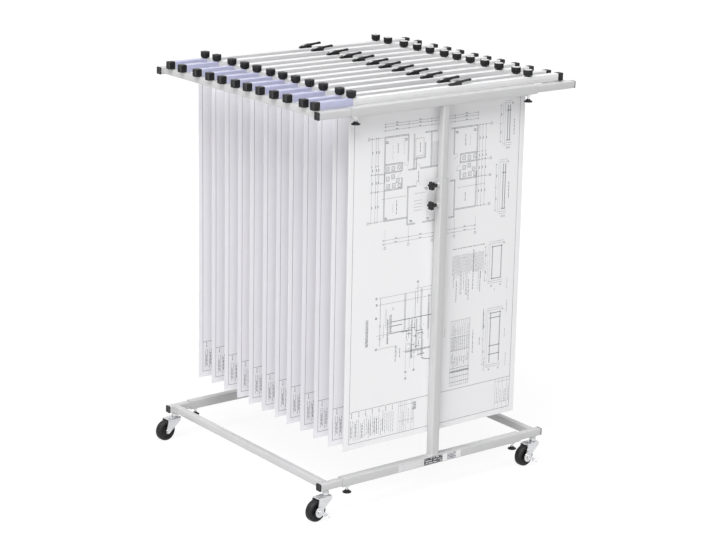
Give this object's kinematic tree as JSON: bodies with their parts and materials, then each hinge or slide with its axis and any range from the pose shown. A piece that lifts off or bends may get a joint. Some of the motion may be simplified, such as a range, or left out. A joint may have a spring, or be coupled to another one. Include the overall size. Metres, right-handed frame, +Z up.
{
  "type": "plan hanging rack",
  "caption": "Wheeled rack of telescopic square tube with two posts, extending base and top, and clamp hangers lying across the top that hold large drawings vertically.",
  "frame": {"origin": "on the floor midway between the two posts", "axes": "+Z up, front towards -Y, left towards -X; the hangers lie along X and the rails that carry them run along X at front and back"},
  "size_m": [0.9006, 0.7995, 1.1568],
  "materials": {
    "tube_paint": "light grey powder coat, semi-gloss",
    "bar_aluminium": "satin anodised extrusion",
    "black_plastic": "moulded black nylon, satin",
    "zinc_plate": "bright zinc plate",
    "tyre": "black, satin",
    "plan_paper": "uncoated white bond"
  },
  "bodies": {
    "lower_frame": {"lower_frame_front": "tube_paint", "lower_frame_back": "tube_paint"},
    "upper_frame": {"upper_frame_front": "tube_paint", "upper_frame_back": "tube_paint"},
    "base_end_left": {"base_end_left": "tube_paint"},
    "base_end_right": {"base_end_right": "tube_paint"},
    "top_end_left": {"top_end_left": "tube_paint"},
    "top_end_right": {"top_end_right": "tube_paint"},
    "caster_front_left": {"caster_fork_front_left": "zinc_plate"},
    "wheel_front_left": {"caster_wheel_front_left": "tyre"},
    "brake_front_left": {"caster_brake_front_left": "zinc_plate"},
    "caster_front_right": {"caster_fork_front_right": "zinc_plate"},
    "wheel_front_right": {"caster_wheel_front_right": "tyre"},
    "brake_front_right": {"caster_brake_front_right": "zinc_plate"},
    "caster_back_left": {"caster_fork_back_left": "zinc_plate"},
    "wheel_back_left": {"caster_wheel_back_left": "tyre"},
    "caster_back_right": {"caster_fork_back_right": "zinc_plate"},
    "wheel_back_right": {"caster_wheel_back_right": "tyre"},
    "star_knob_front_upper": {"star_knob_front_upper": "black_plastic"},
    "star_knob_front_lower": {"star_knob_front_lower": "black_plastic"},
    "star_knob_back_upper": {"star_knob_back_upper": "black_plastic"},
    "star_knob_back_lower": {"star_knob_back_lower": "black_plastic"},
    "hanger_01": {"hanger_bar_01": "bar_aluminium", "plan_sheet_01": "plan_paper"},
    "lever_01": {"hanger_lever_01": "black_plastic"},
    "hanger_02": {"hanger_bar_02": "bar_aluminium", "plan_sheet_02": "plan_paper"},
    "lever_02": {"hanger_lever_02": "black_plastic"},
    "hanger_03": {"hanger_bar_03": "bar_aluminium", "plan_sheet_03": "plan_paper"},
    "lever_03": {"hanger_lever_03": "black_plastic"},
    "hanger_04": {"hanger_bar_04": "bar_aluminium", "plan_sheet_04": "plan_paper"},
    "lever_04": {"hanger_lever_04": "black_plastic"},
    "hanger_05": {"hanger_bar_05": "bar_aluminium", "plan_sheet_05": "plan_paper"},
    "lever_05": {"hanger_lever_05": "black_plastic"},
    "hanger_06": {"hanger_bar_06": "bar_aluminium", "plan_sheet_06": "plan_paper"},
    "lever_06": {"hanger_lever_06": "black_plastic"},
    "hanger_07": {"hanger_bar_07": "bar_aluminium", "plan_sheet_07": "plan_paper"},
    "lever_07": {"hanger_lever_07": "black_plastic"},
    "hanger_08": {"hanger_bar_08": "bar_aluminium", "plan_sheet_08": "plan_paper"},
    "lever_08": {"hanger_lever_08": "black_plastic"},
    "hanger_09": {"hanger_bar_09": "bar_aluminium", "plan_sheet_09": "plan_paper"},
    "lever_09": {"hanger_lever_09": "black_plastic"},
    "hanger_10": {"hanger_bar_10": "bar_aluminium", "plan_sheet_10": "plan_paper"},
    "lever_10": {"hanger_lever_10": "black_plastic"},
    "hanger_11": {"hanger_bar_11": "bar_aluminium", "plan_sheet_11": "plan_paper"},
    "lever_11": {"hanger_lever_11": "black_plastic"},
    "hanger_12": {"hanger_bar_12": "bar_aluminium", "plan_sheet_12": "plan_paper"},
    "lever_12": {"hanger_lever_12": "black_plastic"}
  },
  "joints": [
    {"name": "upper_frame_lift", "type": "slide", "parent": "lower_frame", "child": "upper_frame", "axis": [0, 0, 1], "range_m": [-0.15, 0.3]},
    {"name": "base_end_left_draw", "type": "slide", "parent": "lower_frame", "child": "base_end_left", "axis": [-1, 0, 0], "range_m": [0, 0.13]},
    {"name": "base_end_right_draw", "type": "slide", "parent": "lower_frame", "child": "base_end_right", "axis": [1, 0, 0], "range_m": [0, 0.13]},
    {"name": "top_end_left_draw", "type": "slide", "parent": "upper_frame", "child": "top_end_left", "axis": [-1, 0, 0], "range_m": [-0.06, 0.02]},
    {"name": "top_end_right_draw", "type": "slide", "parent": "upper_frame", "child": "top_end_right", "axis": [1, 0, 0], "range_m": [-0.1, 0]},
    {"name": "caster_swivel_front_left", "type": "hinge", "parent": "base_end_left", "child": "caster_front_left", "pos_m": [-0.37, -0.375, 0.06374], "axis": [0, 0, 1], "continuous": true},
    {"name": "wheel_spin_front_left", "type": "hinge", "parent": "caster_front_left", "child": "wheel_front_left", "pos_m": [-0.40577, -0.37907, 0.03024], "axis": [-0.1132, 0.9936, 0], "continuous": true},
    {"name": "brake_press_front_left", "type": "hinge", "parent": "caster_front_left", "child": "brake_front_left", "pos_m": [-0.40577, -0.37907, 0.03024], "axis": [-0.1132, 0.9936, 0], "range_deg": [0, 12]},
    {"name": "caster_swivel_front_right", "type": "hinge", "parent": "base_end_right", "child": "caster_front_right", "pos_m": [0.377, -0.375, 0.06374], "axis": [0, 0, 1], "continuous": true},
    {"name": "wheel_spin_front_right", "type": "hinge", "parent": "caster_front_right", "child": "wheel_front_right", "pos_m": [0.34123, -0.37907, 0.03024], "axis": [-0.1132, 0.9936, 0], "continuous": true},
    {"name": "brake_press_front_right", "type": "hinge", "parent": "caster_front_right", "child": "brake_front_right", "pos_m": [0.34123, -0.37907, 0.03024], "axis": [-0.1132, 0.9936, 0], "range_deg": [0, 12]},
    {"name": "caster_swivel_back_left", "type": "hinge", "parent": "base_end_left", "child": "caster_back_left", "pos_m": [-0.37, 0.375, 0.06374], "axis": [0, 0, 1], "continuous": true},
    {"name": "wheel_spin_back_left", "type": "hinge", "parent": "caster_back_left", "child": "wheel_back_left", "pos_m": [-0.40577, 0.37093, 0.03024], "axis": [-0.1132, 0.9936, 0], "continuous": true},
    {"name": "caster_swivel_back_right", "type": "hinge", "parent": "base_end_right", "child": "caster_back_right", "pos_m": [0.377, 0.375, 0.06374], "axis": [0, 0, 1], "continuous": true},
    {"name": "wheel_spin_back_right", "type": "hinge", "parent": "caster_back_right", "child": "wheel_back_right", "pos_m": [0.34123, 0.37093, 0.03024], "axis": [-0.1132, 0.9936, 0], "continuous": true},
    {"name": "star_knob_front_upper_turn", "type": "hinge", "parent": "lower_frame", "child": "star_knob_front_upper", "pos_m": [-0.025, -0.375, 0.87654], "axis": [-1, 0, 0], "continuous": true},
    {"name": "star_knob_front_lower_turn", "type": "hinge", "parent": "lower_frame", "child": "star_knob_front_lower", "pos_m": [-0.025, -0.375, 0.82204], "axis": [-1, 0, 0], "continuous": true},
    {"name": "star_knob_back_upper_turn", "type": "hinge", "parent": "lower_frame", "child": "star_knob_back_upper", "pos_m": [0.025, 0.375, 0.87654], "axis": [1, 0, 0], "continuous": true},
    {"name": "star_knob_back_lower_turn", "type": "hinge", "parent": "lower_frame", "child": "star_knob_back_lower", "pos_m": [0.025, 0.375, 0.82204], "axis": [1, 0, 0], "continuous": true},
    {"name": "hanger_lift_01", "type": "slide", "parent": "upper_frame", "child": "hanger_01", "axis": [0, 0, 1], "range_m": [0, 0.15]},
    {"name": "lever_open_01", "type": "hinge", "parent": "hanger_01", "child": "lever_01", "pos_m": [0.065, -0.3515, 1.14434], "axis": [0, -1, 0], "range_deg": [0, 90]},
    {"name": "hanger_lift_02", "type": "slide", "parent": "upper_frame", "child": "hanger_02", "axis": [0, 0, 1], "range_m": [0, 0.15]},
    {"name": "lever_open_02", "type": "hinge", "parent": "hanger_02", "child": "lever_02", "pos_m": [0.065, -0.30229, 1.14434], "axis": [0, -1, 0], "range_deg": [0, 90]},
    {"name": "hanger_lift_03", "type": "slide", "parent": "upper_frame", "child": "hanger_03", "axis": [0, 0, 1], "range_m": [0, 0.15]},
    {"name": "lever_open_03", "type": "hinge", "parent": "hanger_03", "child": "lever_03", "pos_m": [0.065, -0.23058, 1.14434], "axis": [0, -1, 0], "range_deg": [0, 90]},
    {"name": "hanger_lift_04", "type": "slide", "parent": "upper_frame", "child": "hanger_04", "axis": [0, 0, 1], "range_m": [0, 0.15]},
    {"name": "lever_open_04", "type": "hinge", "parent": "hanger_04", "child": "lever_04", "pos_m": [0.065, -0.17013, 1.14434], "axis": [0, -1, 0], "range_deg": [0, 90]},
    {"name": "hanger_lift_05", "type": "slide", "parent": "upper_frame", "child": "hanger_05", "axis": [0, 0, 1], "range_m": [0, 0.15]},
    {"name": "lever_open_05", "type": "hinge", "parent": "hanger_05", "child": "lever_05", "pos_m": [0.065, -0.10686, 1.14434], "axis": [0, -1, 0], "range_deg": [0, 90]},
    {"name": "hanger_lift_06", "type": "slide", "parent": "upper_frame", "child": "hanger_06", "axis": [0, 0, 1], "range_m": [0, 0.15]},
    {"name": "lever_open_06", "type": "hinge", "parent": "hanger_06", "child": "lever_06", "pos_m": [0.065, -0.0478, 1.14434], "axis": [0, -1, 0], "range_deg": [0, 90]},
    {"name": "hanger_lift_07", "type": "slide", "parent": "upper_frame", "child": "hanger_07", "axis": [0, 0, 1], "range_m": [0, 0.15]},
    {"name": "lever_open_07", "type": "hinge", "parent": "hanger_07", "child": "lever_07", "pos_m": [0.065, 0.00914, 1.14434], "axis": [0, -1, 0], "range_deg": [0, 90]},
    {"name": "hanger_lift_08", "type": "slide", "parent": "upper_frame", "child": "hanger_08", "axis": [0, 0, 1], "range_m": [0, 0.15]},
    {"name": "lever_open_08", "type": "hinge", "parent": "hanger_08", "child": "lever_08", "pos_m": [0.065, 0.07382, 1.14434], "axis": [0, -1, 0], "range_deg": [0, 90]},
    {"name": "hanger_lift_09", "type": "slide", "parent": "upper_frame", "child": "hanger_09", "axis": [0, 0, 1], "range_m": [0, 0.15]},
    {"name": "lever_open_09", "type": "hinge", "parent": "hanger_09", "child": "lever_09", "pos_m": [0.065, 0.13287, 1.14434], "axis": [0, -1, 0], "range_deg": [0, 90]},
    {"name": "hanger_lift_10", "type": "slide", "parent": "upper_frame", "child": "hanger_10", "axis": [0, 0, 1], "range_m": [0, 0.15]},
    {"name": "lever_open_10", "type": "hinge", "parent": "hanger_10", "child": "lever_10", "pos_m": [0.065, 0.19543, 1.14434], "axis": [0, -1, 0], "range_deg": [0, 90]},
    {"name": "hanger_lift_11", "type": "slide", "parent": "upper_frame", "child": "hanger_11", "axis": [0, 0, 1], "range_m": [0, 0.15]},
    {"name": "lever_open_11", "type": "hinge", "parent": "hanger_11", "child": "lever_11", "pos_m": [0.065, 0.27136, 1.14434], "axis": [0, -1, 0], "range_deg": [0, 90]},
    {"name": "hanger_lift_12", "type": "slide", "parent": "upper_frame", "child": "hanger_12", "axis": [0, 0, 1], "range_m": [0, 0.15]},
    {"name": "lever_open_12", "type": "hinge", "parent": "hanger_12", "child": "lever_12", "pos_m": [0.065, 0.33041, 1.14434], "axis": [0, -1, 0], "range_deg": [0, 90]}
  ]
}
